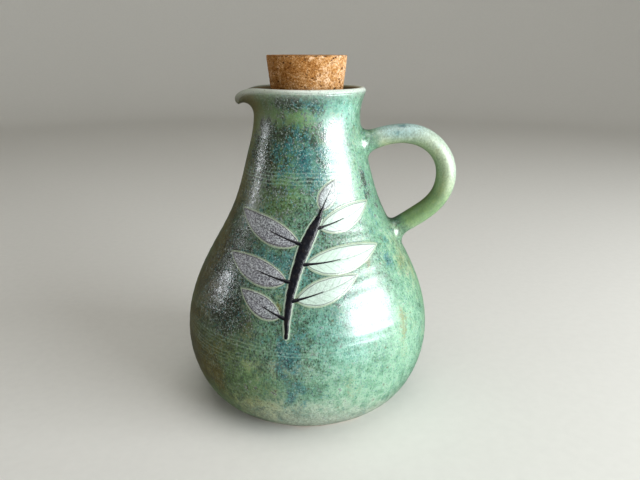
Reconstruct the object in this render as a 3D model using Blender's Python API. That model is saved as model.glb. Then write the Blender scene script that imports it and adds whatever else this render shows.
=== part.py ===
"""Stoneware oil cruet: a thrown jug with a pulled spout and a looped handle, and its cork.

Units are metres, +Z is up. The origin is on the jug's axis, on the flat face that it stands on.
The handle points along +X and the spout along -X.
"""

import math

import bmesh
import bpy
import numpy as np
from mathutils import Matrix, Vector

# Jug body, turned about +Z
RIM_HEIGHT = 0.125
FOOT_RADIUS = 0.0334
BELLY_RADIUS = 0.0488
BELLY_HEIGHT = 0.025
NECK_RADIUS = 0.0203
NECK_HEIGHT = 0.112
LIP_RADIUS = 0.0221
LIP_WIDTH = 0.0028
LIP_DEPTH = 0.0015
WALL = 0.0043
FLOOR = 0.0055
FLOOR_CORNER = 0.016
FLOOR_SQUARENESS = 3.2
FLAT_SHARE = 0.55

# Height and outer radius of each station that the thrown wall passes through
OUTSIDE = (
    (0.000, FOOT_RADIUS),
    (0.004, 0.0390),
    (0.012, 0.0450),
    (BELLY_HEIGHT, BELLY_RADIUS),
    (0.042, 0.0476),
    (0.060, 0.0402),
    (0.080, 0.0293),
    (0.100, 0.0230),
    (NECK_HEIGHT, NECK_RADIUS),
    (0.1185, 0.0205),
    (RIM_HEIGHT - LIP_DEPTH, LIP_RADIUS),
)

# Cork, a tapered plug that reaches down into the throat
CORK_TOP = 0.1363
CORK_LENGTH = 0.025
CORK_TOP_RADIUS = 0.0151
CORK_BOTTOM_RADIUS = 0.0121
CORK_CHAMFER = 0.0005
CORK_GAP = 0.0004

# Throat, a thick ring inside the neck that holds the cork: height and inner radius of the
# stations below its narrowest place and above it
SHOULDER_HEIGHT = 0.096
THROAT_HEIGHT = 0.1130
BELOW_THROAT = (0.1050, 0.0158)
ABOVE_THROAT = (
    (0.1180, 0.0146),
    (0.1210, 0.0175),
)

# Spout: the wall above its root bends outwards, most in the middle of the spout
SPOUT_ROOT = 0.115
SPOUT_BEND = math.radians(75)
SPOUT_BEND_LENGTH = 0.010
SPOUT_CORE_RADIUS = 0.019
SPOUT_HALF_ANGLE = math.radians(24)
SPOUT_STRETCH = 0.20
SPOUT_THICKENING = 0.35
SPOUT_LEAST_SHARE = 0.002

# Handle: centre line in the XZ plane, from the neck out and down to the shoulder
HANDLE_LINE = (
    (0.0195, 0.1033),
    (0.0310, 0.1073),
    (0.0420, 0.1073),
    (0.0498, 0.1024),
    (0.0536, 0.0940),
    (0.0513, 0.0836),
    (0.0440, 0.0765),
    (0.0320, 0.0689),
)
HANDLE_HALF_THICKNESS = 0.0037
HANDLE_HALF_WIDTH = 0.0043
NECK_FLARE = 0.0042
SHOULDER_FLARE = 0.0032
FLARE_LENGTH = 0.0036
DIRECTION_STEP = 0.001

# How finely each surface is divided
TURN_STEPS = 52
FOOT_ROWS = 8
FOOT_ROW_POWER = 1.4
BODY_ROWS = 19
LIP_ROWS = 6
THROAT_ROWS = 12
INSIDE_ROWS = 10
FLOOR_ROWS = 7
CORK_STEPS = 48
HANDLE_RINGS = 32
HANDLE_SIDES = 14
MERGE_DISTANCE = 1e-6
LEVEL_DISTANCE = 0.0001
SHARP_ANGLE = math.radians(40)

GLAZE_GREEN = (0.36, 0.52, 0.38, 1.0)
CORK_TAN = (0.60, 0.35, 0.14, 1.0)


def clear_scene():
    for obj in list(bpy.data.objects):
        bpy.data.objects.remove(obj, do_unlink=True)


def material(name, colour, roughness):
    made = bpy.data.materials.new(name)
    made.use_nodes = True
    shader = made.node_tree.nodes["Principled BSDF"]
    shader.inputs["Base Color"].default_value = colour
    shader.inputs["Roughness"].default_value = roughness
    shader.inputs["Metallic"].default_value = 0.0
    return made


def new_object(name, build, finish):
    """Makes an object from the bmesh that has been built, with outward normals and smooth faces."""
    bmesh.ops.recalc_face_normals(build, faces=build.faces)
    mesh = bpy.data.meshes.new(name)
    build.to_mesh(mesh)
    build.free()
    mesh.shade_smooth()
    mesh.set_sharp_from_angle(angle=SHARP_ANGLE)
    mesh.materials.append(finish)
    obj = bpy.data.objects.new(name, mesh)
    bpy.context.scene.collection.objects.link(obj)
    return obj


def spline(stations, at):
    """Natural cubic spline through (place, value) stations, read at the places given."""
    x, y = np.array(stations).T
    step = np.diff(x)
    slope = np.diff(y) / step
    system = np.eye(len(x))
    target = np.zeros(len(x))
    for i in range(1, len(x) - 1):
        system[i, i - 1 : i + 2] = step[i - 1], 2 * (step[i - 1] + step[i]), step[i]
        target[i] = 6 * (slope[i] - slope[i - 1])
    bend = np.linalg.solve(system, target)
    i = np.clip(np.searchsorted(x, at) - 1, 0, len(step) - 1)
    a = (x[i + 1] - at) / step[i]
    b = (at - x[i]) / step[i]
    curve = ((a**3 - a) * bend[i] + (b**3 - b) * bend[i + 1]) * step[i] ** 2 / 6
    return a * y[i] + b * y[i + 1] + curve


def outer_radius(height):
    return spline(OUTSIDE, height)


def cork_radius(height):
    share = (height - (CORK_TOP - CORK_LENGTH)) / CORK_LENGTH
    return CORK_BOTTOM_RADIUS + share * (CORK_TOP_RADIUS - CORK_BOTTOM_RADIUS)


def inner_radius(height):
    """The wall follows the outside up to the shoulder, then thickens to the throat and opens to the lip."""
    follow = [(h, r - WALL) for h, r in OUTSIDE if h < SHOULDER_HEIGHT]
    shoulder = (SHOULDER_HEIGHT, float(outer_radius(SHOULDER_HEIGHT)) - WALL)
    throat = (THROAT_HEIGHT, cork_radius(THROAT_HEIGHT) + CORK_GAP)
    lip = (RIM_HEIGHT - LIP_DEPTH, LIP_RADIUS - LIP_WIDTH)
    return spline([*follow, shoulder, BELOW_THROAT, throat, *ABOVE_THROAT, lip], height)


def wall_outline():
    """Closed section of the wall as (radius, height): foot, outside, lip, inside and floor."""
    low = np.linspace(0, 1, FOOT_ROWS + 1)[:-1] ** FOOT_ROW_POWER * BELLY_HEIGHT
    high = np.linspace(BELLY_HEIGHT, RIM_HEIGHT - LIP_DEPTH, BODY_ROWS + 1)[:-1]
    outside = np.concatenate([low, high])
    points = [(0.0, 0.0), (FOOT_RADIUS * FLAT_SHARE, 0.0)]
    points += zip(outer_radius(outside), outside)
    for turn in np.linspace(0, math.pi, LIP_ROWS + 1):
        radius = LIP_RADIUS - LIP_WIDTH / 2 * (1 - math.cos(turn))
        points.append((radius, RIM_HEIGHT - LIP_DEPTH * (1 - math.sin(turn))))
    throat = np.linspace(RIM_HEIGHT - LIP_DEPTH, SHOULDER_HEIGHT, THROAT_ROWS + 1)[1:]
    belly = np.linspace(SHOULDER_HEIGHT, FLOOR + FLOOR_CORNER, INSIDE_ROWS + 1)[1:]
    inside = np.concatenate([throat, belly])
    points += zip(inner_radius(inside), inside)
    for turn in np.linspace(math.pi / 2, 0, FLOOR_ROWS + 1)[1:-1]:
        rise = 1 - math.cos(turn) ** (2 / FLOOR_SQUARENESS)
        height = FLOOR + FLOOR_CORNER * rise
        share = math.sin(turn) ** (2 / FLOOR_SQUARENESS)
        points.append((float(inner_radius(height)) * share, height))
    points.append((0.0, FLOOR))
    return points


def bend_spout(point):
    """Bends the wall above the spout's root outwards, along an arc that is tightest at -X."""
    away = math.atan2(point.y, -point.x)
    share = math.exp(-((away / SPOUT_HALF_ANGLE) ** 2))
    if point.z <= SPOUT_ROOT or share < SPOUT_LEAST_SHARE:
        return point
    rise = (point.z - SPOUT_ROOT) * (1 + SPOUT_STRETCH * share)
    bend = SPOUT_BEND * share
    curved = min(rise, SPOUT_BEND_LENGTH)
    turned = bend * curved / SPOUT_BEND_LENGTH
    arc_radius = SPOUT_BEND_LENGTH / bend
    straight = rise - curved
    thicker = 1 + SPOUT_THICKENING * share * curved / SPOUT_BEND_LENGTH
    offset = (math.hypot(point.x, point.y) - SPOUT_CORE_RADIUS) * thicker
    out = arc_radius * (1 - math.cos(turned)) + straight * math.sin(turned)
    up = arc_radius * math.sin(turned) + straight * math.cos(turned)
    radius = SPOUT_CORE_RADIUS + out + offset * math.cos(turned)
    height = SPOUT_ROOT + up - offset * math.sin(turned)
    return Vector((-radius * math.cos(away), radius * math.sin(away), height))


def thrown_wall(finish):
    """The hollow body: its section spun round the axis, with the spout pulled out of the lip."""
    build = bmesh.new()
    ring = [build.verts.new((radius, 0.0, height)) for radius, height in wall_outline()]
    edges = [build.edges.new(pair) for pair in zip(ring, ring[1:])]
    bmesh.ops.spin(
        build,
        geom=ring + edges,
        cent=(0, 0, 0),
        axis=(0, 0, 1),
        angle=2 * math.pi,
        steps=TURN_STEPS,
        use_merge=True,
    )
    bmesh.ops.remove_doubles(build, verts=build.verts, dist=MERGE_DISTANCE)
    for vert in build.verts:
        vert.co = bend_spout(vert.co)
    return new_object("jug", build, finish)


def handle_frame(share):
    """Centre, direction and distance from each end, at a share of the handle's length."""
    line = np.array(HANDLE_LINE)
    chord = np.concatenate([[0], np.cumsum(np.hypot(*np.diff(line, axis=0).T))])
    ahead, behind = min(share + DIRECTION_STEP, 1.0), max(share - DIRECTION_STEP, 0.0)
    at = np.array([share, ahead, behind]) * chord[-1]
    x, z = (spline(np.column_stack([chord, values]), at) for values in line.T)
    centre = Vector((x[0], 0, z[0]))
    direction = Vector((x[1] - x[2], 0, z[1] - z[2])).normalized()
    return centre, direction, share * chord[-1], (1 - share) * chord[-1]


def pulled_handle(finish):
    """An oval rod along the centre line, which flares where it was smoothed on to the wall."""
    build = bmesh.new()
    rings = []
    spacing = [0.5 - 0.5 * math.cos(math.pi * i / HANDLE_RINGS) for i in range(HANDLE_RINGS + 1)]
    for i, eased in enumerate(spacing):
        share = (eased + i / HANDLE_RINGS) / 2
        centre, direction, from_neck, from_shoulder = handle_frame(share)
        outward = direction.cross(Vector((0, 1, 0)))
        flare = NECK_FLARE * math.exp(-((from_neck / FLARE_LENGTH) ** 2))
        flare += SHOULDER_FLARE * math.exp(-((from_shoulder / FLARE_LENGTH) ** 2))
        ring = []
        for side in range(HANDLE_SIDES):
            turn = 2 * math.pi * side / HANDLE_SIDES
            thick = (HANDLE_HALF_THICKNESS + flare) * math.cos(turn)
            wide = (HANDLE_HALF_WIDTH + flare) * math.sin(turn)
            ring.append(build.verts.new(centre + outward * thick + Vector((0, wide, 0))))
        rings.append(ring)
    for before, after in zip(rings, rings[1:]):
        for a, b in zip(range(HANDLE_SIDES), [*range(1, HANDLE_SIDES), 0]):
            build.faces.new((before[a], before[b], after[b], after[a]))
    build.faces.new(rings[0])
    build.faces.new(rings[-1])
    return new_object("handle_rod", build, finish)


def cork(finish):
    """A truncated cone with its two rims eased, standing in the throat."""
    build = bmesh.new()
    bmesh.ops.create_cone(
        build,
        cap_ends=True,
        segments=CORK_STEPS,
        radius1=CORK_BOTTOM_RADIUS,
        radius2=CORK_TOP_RADIUS,
        depth=CORK_LENGTH,
        matrix=Matrix.Translation((0, 0, CORK_TOP - CORK_LENGTH / 2)),
    )
    rims = []
    for edge in build.edges:
        if abs(edge.verts[0].co.z - edge.verts[1].co.z) < LEVEL_DISTANCE:
            rims.append(edge)
    bmesh.ops.bevel(build, geom=rims, offset=CORK_CHAMFER, segments=1, affect="EDGES")
    return new_object("cork", build, finish)


def main():
    clear_scene()
    glaze = material("glazed_stoneware", GLAZE_GREEN, 0.25)
    jug = thrown_wall(glaze)
    rod = pulled_handle(glaze)
    rod.hide_render = True
    rod.display_type = "WIRE"
    join = jug.modifiers.new("handle smoothed on", "BOOLEAN")
    join.operation = "UNION"
    join.solver = "EXACT"
    join.object = rod
    cork(material("cork", CORK_TAN, 0.85))


main()
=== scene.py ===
"""Stoneware oil cruet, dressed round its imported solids: jug, handle, slip sprig and cork.

Lengths are in metres, +Z is up, and the origin is on the jug's axis, on the face it stands on.
The handle points along +X, the spout along -X, and the sprig faces -Y, towards the camera.
An azimuth is measured round the axis from -Y towards +X, in radians unless a name says degrees.
"""

import logging
import math
from dataclasses import dataclass, field
from enum import Enum

import bpy
import numpy as np
from mathutils import Matrix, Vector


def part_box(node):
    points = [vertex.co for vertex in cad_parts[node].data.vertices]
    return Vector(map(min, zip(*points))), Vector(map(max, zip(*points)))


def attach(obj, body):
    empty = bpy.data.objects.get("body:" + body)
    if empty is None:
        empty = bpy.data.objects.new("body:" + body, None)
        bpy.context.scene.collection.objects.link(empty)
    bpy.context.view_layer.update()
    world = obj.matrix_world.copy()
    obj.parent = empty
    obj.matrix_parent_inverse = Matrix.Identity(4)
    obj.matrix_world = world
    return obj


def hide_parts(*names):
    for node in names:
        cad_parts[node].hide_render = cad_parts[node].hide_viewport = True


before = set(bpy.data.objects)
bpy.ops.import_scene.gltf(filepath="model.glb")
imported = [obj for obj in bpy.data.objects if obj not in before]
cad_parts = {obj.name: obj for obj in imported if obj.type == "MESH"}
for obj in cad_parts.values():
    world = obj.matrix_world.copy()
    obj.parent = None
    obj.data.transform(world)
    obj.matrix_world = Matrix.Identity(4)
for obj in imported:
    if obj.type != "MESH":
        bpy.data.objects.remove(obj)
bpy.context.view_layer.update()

BODY = "root"
MM = 0.001
TURN = 2 * math.pi

Array = np.ndarray
Colour = tuple[float, float, float]
Stops = tuple[tuple[float, Colour], ...]
Socket = bpy.types.NodeSocket
Value = float | tuple[float, ...] | Socket
Inputs = dict[str | int, Value]

log = logging.getLogger("cruet")


# Numeric helpers


def natural_spline(places: Array, values: Array, at: Array) -> Array:
    """Natural cubic spline: a cubic between each two stations, with no bend at the two ends.

    Args:
        places: rising places of the stations.
        values: one number or one row of numbers for each station.
        at: places to read.

    Returns:
        The values at those places.
    """
    step = np.diff(places)
    values = np.asarray(values, float)
    flat = values.reshape(len(places), -1)
    slope = np.diff(flat, axis=0) / step[:, None]
    system = np.eye(len(places))
    target = np.zeros_like(flat)
    inner = np.arange(1, len(places) - 1)
    system[inner, inner - 1] = step[:-1]
    system[inner, inner] = 2 * (step[:-1] + step[1:])
    system[inner, inner + 1] = step[1:]
    target[inner] = 6 * (slope[1:] - slope[:-1])
    bend = np.linalg.solve(system, target)
    at = np.asarray(at, float)
    i = np.clip(np.searchsorted(places, at) - 1, 0, len(step) - 1)
    a = ((places[i + 1] - at) / step[i])[..., None]
    b = 1 - a
    curve = ((a**3 - a) * bend[i] + (b**3 - b) * bend[i + 1]) * step[i][..., None] ** 2 / 6
    read = a * flat[i] + b * flat[i + 1] + curve
    return read.reshape(at.shape + values.shape[1:])


def chords(stations: Array) -> Array:
    """Distance of each station from the first, by straight chords."""
    return np.concatenate([[0], np.cumsum(np.hypot(*np.diff(stations, axis=0).T))])


def smooth_step(value: Array, low: float, high: float) -> Array:
    """3t^2 - 2t^3, where t goes from 0 at low to 1 at high."""
    t = np.clip((value - low) / (high - low), 0, 1)
    return t * t * (3 - 2 * t)


def bell(value: Array, middle: float, spread: float) -> Array:
    """A Gaussian that is 1 at the middle and 1/e a spread away from it."""
    return np.exp(-(((value - middle) / spread) ** 2))


def hashed(cells: Array, seed: int) -> Array:
    """One number from 0 to 1 for each cell of whole numbers, by an integer hash."""
    x, y, z = (cells[..., i].astype(np.int64) for i in range(3))
    mixed = (x * 73856093) ^ (y * 19349663) ^ (z * 83492791) ^ (seed * 39916801)
    mixed &= 0xFFFFFFFF
    mixed = ((mixed ^ (mixed >> 15)) * 0x2C1B3C6D) & 0xFFFFFFFF
    mixed = ((mixed ^ (mixed >> 12)) * 0x297A2D39) & 0xFFFFFFFF
    return ((mixed ^ (mixed >> 15)) & 0xFFFFF) / 0xFFFFF


def soft_noise(points: Array, size: float, seed: int) -> Array:
    """Smooth noise from -1 to 1: hashed lattice values blended by 6t^5 - 15t^4 + 10t^3.

    Args:
        points: places, the last axis holding x, y and z.
        size: spacing of the lattice.
        seed: picks the lattice values.

    Returns:
        One value for each point.
    """
    cell = np.asarray(points) / size
    base = np.floor(cell)
    part = cell - base
    fade = part**3 * (part * (part * 6 - 15) + 10)
    total = np.zeros(cell.shape[:-1])
    for corner in np.ndindex(2, 2, 2):
        step = np.array(corner)
        weight = np.prod(np.where(step == 1, fade, 1 - fade), axis=-1)
        total += weight * (2 * hashed(base + step, seed) - 1)
    return total


def shaken(points: Array, amount: float, size: float, seed: int) -> Array:
    """Points moved by three noises of this size, one along each axis."""
    noises = [soft_noise(points, size, seed + i) for i in range(3)]
    return points + amount * np.stack(noises, axis=-1)


def grain_cells(points: Array, size: float, seed: int) -> tuple[Array, Array]:
    """Packed grains round jittered lattice points: the nearest point owns the place.

    Args:
        points: places in metres, the last axis holding x, y and z.
        size: spacing of the grains.
        seed: picks the jitter.

    Returns:
        A number from 0 to 1 for the grain that owns each place, and how much nearer its
        middle is than the next grain's, as a share of the spacing (0 on a border).
    """
    cell = points / size
    base = np.floor(cell)
    nearest = np.full(cell.shape[:-1], np.inf)
    second = nearest.copy()
    owner = np.zeros(cell.shape[:-1])
    for corner in np.ndindex(3, 3, 3):
        site = base + np.array(corner) - 1
        jitter = np.stack([hashed(site, seed + i) for i in range(3)], axis=-1)
        away = np.linalg.norm(site + jitter - cell, axis=-1)
        closer = away < nearest
        second = np.where(closer, nearest, np.minimum(second, away))
        owner = np.where(closer, hashed(site, seed + 3), owner)
        nearest = np.where(closer, away, nearest)
    return owner, second - nearest


# Meshes: every piece is made of closed skins, each a stack of rings between two poles


@dataclass
class Skin:
    """A closed surface: rings (rings x columns x 3) that end in a pole at either side."""

    rings: Array
    first_pole: Array
    last_pole: Array
    values: dict[str, Array] = field(default_factory=dict)

    def points(self) -> Array:
        """All vertices: the rings in order, then the two poles."""
        return np.concatenate([self.rings.reshape(-1, 3), [self.first_pole], [self.last_pole]])

    def value(self, name: str) -> Array:
        """The named value at every vertex; a pole takes the mean of its ring."""
        rows = self.values[name]
        return np.concatenate([rows.ravel(), [rows[0].mean()], [rows[-1].mean()]])

    def faces(self) -> tuple[Array, Array]:
        """The quads between rings and the two fans of triangles, facing outwards.

        Cell (i, j) has the corners (i, j), (i, j+1), (i+1, j+1), (i+1, j). Where the volume
        that the faces enclose comes out negative, all of them are turned round.
        """
        count, columns = self.rings.shape[:2]
        index = np.arange(count * columns).reshape(count, columns)
        after = np.roll(index, -1, axis=1)
        quads = np.stack([index[:-1], after[:-1], after[1:], index[1:]], axis=-1).reshape(-1, 4)
        first, last = (np.full(columns, count * columns + i) for i in range(2))
        start = np.stack([first, after[0], index[0]], axis=-1)
        end = np.stack([last, index[-1], after[-1]], axis=-1)
        fans = np.concatenate([start, end])
        split = np.concatenate([quads[:, :3], quads[:, [0, 2, 3]], fans])
        a, b, c = (self.points()[split[:, i]] for i in range(3))
        if np.einsum("ij,ij->", a, np.cross(b, c)) < 0:
            quads, fans = quads[:, ::-1], fans[:, ::-1]
        return quads, fans


def make_piece(name: str, skins: list[Skin], finish: bpy.types.Material) -> bpy.types.Object:
    """Joins skins into one smooth mesh object at the origin and gives it its finish.

    Args:
        name: the piece's name.
        skins: closed surfaces that all carry the same named values.
        finish: the material of the whole piece.

    Returns:
        The new object, riding on the jug's body.
    """
    places, faces, offset = [], [], 0
    for skin in skins:
        quads, fans = skin.faces()
        places.append(skin.points())
        faces += (quads + offset).tolist() + (fans + offset).tolist()
        offset += len(places[-1])
    mesh = bpy.data.meshes.new(name)
    mesh.from_pydata(np.concatenate(places).tolist(), [], faces)
    for key in skins[0].values:
        attribute = mesh.attributes.new(key, "FLOAT", "POINT")
        amounts = np.concatenate([skin.value(key) for skin in skins])
        attribute.data.foreach_set("value", amounts.astype(np.float32))
    mesh.shade_smooth()
    mesh.materials.append(finish)
    piece = bpy.data.objects.new(name, mesh)
    bpy.context.scene.collection.objects.link(piece)
    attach(piece, BODY)
    log.info("%s: %d faces", name, len(faces))
    return piece


# The thrown form


def wrapped(angle: Array) -> Array:
    """The same angle, between minus half a turn and half a turn."""
    return (angle + math.pi) % TURN - math.pi


@dataclass(frozen=True)
class ThrownForm:
    """The jug's form without its handle, with the potter's throwing relief on the outside."""

    rim_height: float
    lip_radius: float = 0.0221
    lip_width: float = 0.0028
    lip_depth: float = 0.0015
    wall: float = 0.0043
    floor: float = 0.0055
    floor_corner: float = 0.016
    floor_squareness: float = 3.2
    shoulder_height: float = 0.096
    stations: tuple[tuple[float, float], ...] = (
        (0.000, 0.0334),
        (0.004, 0.0390),
        (0.012, 0.0450),
        (0.025, 0.0488),
        (0.042, 0.0476),
        (0.060, 0.0402),
        (0.080, 0.0293),
        (0.100, 0.0230),
        (0.112, 0.0203),
        (0.1185, 0.0205),
    )
    throat: tuple[tuple[float, float], ...] = (
        (0.1050, 0.0158),
        (0.1130, 0.0127),
        (0.1180, 0.0146),
        (0.1210, 0.0175),
    )
    spout_azimuth: float = math.radians(-90)
    spout_root: float = 0.115
    spout_bend: float = math.radians(75)
    spout_length: float = 0.010
    spout_core: float = 0.019
    spout_half_angle: float = math.radians(24)
    spout_stretch: float = 0.20
    spout_thickening: float = 0.35
    ridge_pitch: float = 0.0037
    ridge_depth: float = 0.00003
    sway_depth: float = 0.00012
    dents: tuple[tuple[float, float, int], ...] = (
        (0.00016, 0.034, 23),
        (0.000040, 0.0056, 31),
        (0.000014, 0.0026, 37),
    )
    relief_span: tuple[float, ...] = (0.001, 0.009, 0.106, 0.116)

    def lip_height(self) -> float:
        """Where the wall ends and its rounded lip begins."""
        return self.rim_height - self.lip_depth

    def outer_radius(self, height: Array) -> Array:
        """Natural spline through the outer stations, up to the lip."""
        table = np.array([*self.stations, (self.lip_height(), self.lip_radius)])
        return natural_spline(table[:, 0], table[:, 1], height)

    def inner_radius(self, height: Array) -> Array:
        """Outer radius less the wall up to the shoulder, then through the throat to the lip."""
        follow = [(h, r - self.wall) for h, r in self.stations if h < self.shoulder_height]
        shoulder = float(self.outer_radius(self.shoulder_height)) - self.wall
        lip = (self.lip_height(), self.lip_radius - self.lip_width)
        table = np.array([*follow, (self.shoulder_height, shoulder), *self.throat, lip])
        return natural_spline(table[:, 0], table[:, 1], height)

    def profile(self, low: float, high: float, count: int) -> tuple[Array, Array]:
        """Even heights along the outer profile, and the distance up it at each."""
        dense = np.linspace(low, high, count)
        return dense, chords(np.stack([dense, self.outer_radius(dense)], axis=-1))

    def relief(self, azimuth: Array, height: Array) -> Array:
        """How far throwing moved the outside: a spiral ridge, a slow sway and soft dents.

        The ridge is a sine of (height / pitch + turns + a wandering noise), stronger in the
        bands where the fingers pressed, and the sway is a cosine of twice the azimuth. All
        of it fades out at the foot and below the lip.
        """
        ring = np.stack([np.sin(azimuth), np.cos(azimuth), height / 0.03], axis=-1) * 0.03
        turns = height / self.ridge_pitch + azimuth / TURN + 0.55 * soft_noise(ring, 0.021, 5)
        pressed = 0.35 + 0.65 * smooth_step(soft_noise(ring, 0.017, 11), -0.35, 0.45)
        ridge = self.ridge_depth * pressed * np.sin(TURN * turns)
        broad, small, tiny = (
            depth * soft_noise(ring, size, seed) for depth, size, seed in self.dents
        )
        sway = self.sway_depth * np.cos(2 * azimuth + 0.7) + broad
        sway += small + tiny
        foot, full, fading, none = self.relief_span
        fade = smooth_step(height, foot, full) * (1 - smooth_step(height, fading, none))
        return (ridge + sway) * fade

    def place(self, azimuth: Array, radius: Array, height: Array) -> Array:
        """Points at these azimuths, radii and heights, with the spout pulled out of the lip.

        Above its root the wall bends outwards along an arc. The share of the bend is a
        Gaussian of the angle from the spout's middle, and the wall stretches and thickens by
        the same share.
        """
        away = wrapped(azimuth - self.spout_azimuth)
        share = bell(away, 0, self.spout_half_angle) + 1e-9
        rise = (height - self.spout_root) * (1 + self.spout_stretch * share)
        curved = np.clip(rise, 0, self.spout_length)
        straight = np.maximum(rise - curved, 0)
        bend = self.spout_bend * share
        turned = bend * curved / self.spout_length
        arc = self.spout_length / bend
        thicker = 1 + self.spout_thickening * share * curved / self.spout_length
        offset = (radius - self.spout_core) * thicker
        out = arc * (1 - np.cos(turned)) + straight * np.sin(turned)
        up = arc * np.sin(turned) + straight * np.cos(turned)
        above = height > self.spout_root
        radius = np.where(above, self.spout_core + out + offset * np.cos(turned), radius)
        height = np.where(above, self.spout_root + up - offset * np.sin(turned), height)
        return np.stack([radius * np.sin(azimuth), -radius * np.cos(azimuth), height], axis=-1)

    def on_wall(self, azimuth: Array, height: Array, lift: Array | float = 0.0) -> Array:
        """Points on the outside, lifted along the normal of the plain turned form."""
        step = 1e-5
        radius = self.outer_radius(height)
        lean = (self.outer_radius(height + step) - self.outer_radius(height - step)) / (2 * step)
        raised = self.relief(azimuth, height) + lift
        tilt = np.sqrt(1 + lean**2)
        return self.place(azimuth, radius + raised / tilt, height - raised * lean / tilt)

    def outside_of(self, points: Array) -> Array:
        """How far points are outside the turned form, level with them."""
        return np.hypot(points[..., 0], points[..., 1]) - self.outer_radius(points[..., 2])


# Where the glaze pooled, broke or ran, and where light and shade are painted: patches on the jug


class Tone(Enum):
    """The ways in which the glaze departs from plain sage, some partly painted light and shade,
    each kept as a mesh attribute.
    """

    LIGHT = "light"
    DARK = "dark"
    TEAL = "teal"
    GREY = "grey"
    THIN = "thin"
    WARM = "warm"
    COOL = "cool"
    CALM = "calm"


@dataclass(frozen=True)
class Patch:
    """A soft oval: its middle, half sizes along and up the wall, and strength."""

    azimuth_degrees: float
    height_mm: float
    along_mm: float
    up_mm: float
    strength: float

    def amount(self, azimuth: Array, radius: Array, height: Array) -> Array:
        """Gaussian of the distance along the wall and up it, each over its half size."""
        along = wrapped(azimuth - math.radians(self.azimuth_degrees)) * radius
        up = height - self.height_mm * MM
        away = (along / (self.along_mm * MM)) ** 2 + (up / (self.up_mm * MM)) ** 2
        return self.strength * np.exp(-away)


PATCHES: dict[Tone, tuple[tuple[float, ...], ...]] = {
    # LIGHT: paler glaze. The patches on the lit right, at azimuths 18 to 90, are partly painted
    # light; those near -110, on the spout side, are painted light that lifts the dim side.
    Tone.LIGHT: (
        (50, 36, 24, 26, 1.0), (62, 88, 10, 24, 0.9), (26, 20, 20, 9, 0.7), (45, 119, 12, 5, 0.8),
        (18, 38, 10, 12, 0.45), (90, 40, 18, 22, 0.5), (178, 30, 30, 18, 0.8),
        (-112, 34, 24, 26, 0.8), (-108, 96, 12, 22, 0.6), (165, 98, 18, 20, 0.7),
        (4, 100, 11, 13, 0.62), (-60, 110, 9, 15, 0.5), (4, 18, 18, 8, 0.5),
        (-8, 115, 16, 4, 0.35), (-12, 44, 10, 8, 0.25), (-20, 26, 10, 8, 0.35),
    ),
    Tone.DARK: (
        # DARK: olive glaze. The patches down the left side, at azimuths -50 to -66, and under the
        # spout's tip are partly painted shade.
        (-66, 92, 9, 34, 0.65), (-62, 52, 14, 26, 0.85), (-50, 26, 22, 13, 0.65),
        (-60, 118, 12, 7, 0.25), (-90, 121, 12, 5, 0.6), (-22, 44, 12, 9, 0.2),
        (104, 72, 9, 9, 0.5), (150, 46, 16, 14, 0.45), (-150, 66, 14, 22, 0.45),
        (-9, 53, 1.2, 2.0, 1.0),
    ),
    Tone.TEAL: (
        (-12, 66, 14, 7, 1.0), (-3, 104, 8, 9, 0.9), (-3, 41, 5, 10, 0.9), (-1, 24, 5, 13, 0.7),
        (-34, 80, 5, 4, 0.9), (6, 120, 8, 3, 0.7), (30, 98, 5, 12, 0.6), (9, 94, 6, 8, 0.5),
        (-16, 99, 5, 7, 0.4), (62, 80, 3, 8, 0.6), (57, 65, 3.5, 5, 0.9), (176, 62, 14, 9, 0.9),
        (140, 98, 8, 12, 0.8), (-128, 84, 8, 9, 0.7), (-162, 30, 6, 13, 0.8),
        (118, 34, 7, 14, 0.6), (10, 23, 1.6, 1.6, 1.0),
    ),
    Tone.GREY: (
        (-42, 62, 13, 23, 1.0), (-43, 104, 9, 15, 1.0), (-30, 48, 12, 8, 0.6),
        (2, 112, 12, 8, 0.5), (-18, 22, 12, 6, 0.5), (170, 88, 13, 18, 0.8),
        (-118, 62, 7, 16, 0.6), (132, 62, 10, 16, 0.6), (22, 60, 9, 12, 0.45),
        (4, 98, 14, 15, 0.70), (60, 90, 3.5, 11, 0.8), (72, 82, 5, 9, 0.45),
        (-6, 121, 12, 2.5, 0.8),
    ),
    Tone.THIN: (
        (14, 4, 25, 14, 0.80), (-20, 14, 12, 8, 0.3), (55, 6, 18, 7, 0.5), (120, 5, 20, 8, 0.6),
        (-160, 6, 30, 10, 0.7), (-95, 5, 14, 6, 0.4), (-8, 34, 16, 3, 0.35),
        (76, 62, 8, 12, 0.35), (-2, 17, 22, 8, 0.25), (0, 114, 20, 4, 0.30),
    ),
    # WARM: the patches on the left, at azimuths -44 to -64, and under the spout are partly a
    # painted warm reflection and painted shade.
    Tone.WARM: (
        (-64, 60, 18, 60, 1.0), (-44, 28, 24, 24, 0.9), (-46, 116, 16, 11, 1.0),
        (-24, 96, 8, 15, 0.9), (-8, 114, 9, 6, 0.45), (-6, 88, 8, 5, 0.5), (-18, 24, 12, 14, 0.3),
        (84, 52, 14, 30, 0.32), (72, 64, 7, 8, 0.15), (150, 50, 24, 30, 0.45),
        (-150, 80, 24, 30, 0.5), (-9, 53, 1.2, 2.0, 1.0),
    ),
    Tone.COOL: (
        (22, 47, 14, 15, 1.0), (22, 106, 9, 14, 0.9), (8, 62, 9, 12, 0.8), (42, 118, 8, 7, 0.6),
        (3, 102, 12, 12, 1.0), (-172, 40, 22, 26, 0.8), (125, 80, 12, 18, 0.6),
        (0, 121, 12, 3, 0.8),
    ),
    Tone.CALM: (
        (-62, 118, 14, 9, 0.9), (-4, 115, 18, 4, 0.3), (-76, 62, 9, 50, 0.35),
        (-36, 24, 26, 16, 0.4), (8, 5, 40, 9, 0.5), (92, 56, 10, 50, 0.2),
        (165, 20, 40, 14, 0.6),
    ),
}
THROWN = "thrown"
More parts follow.
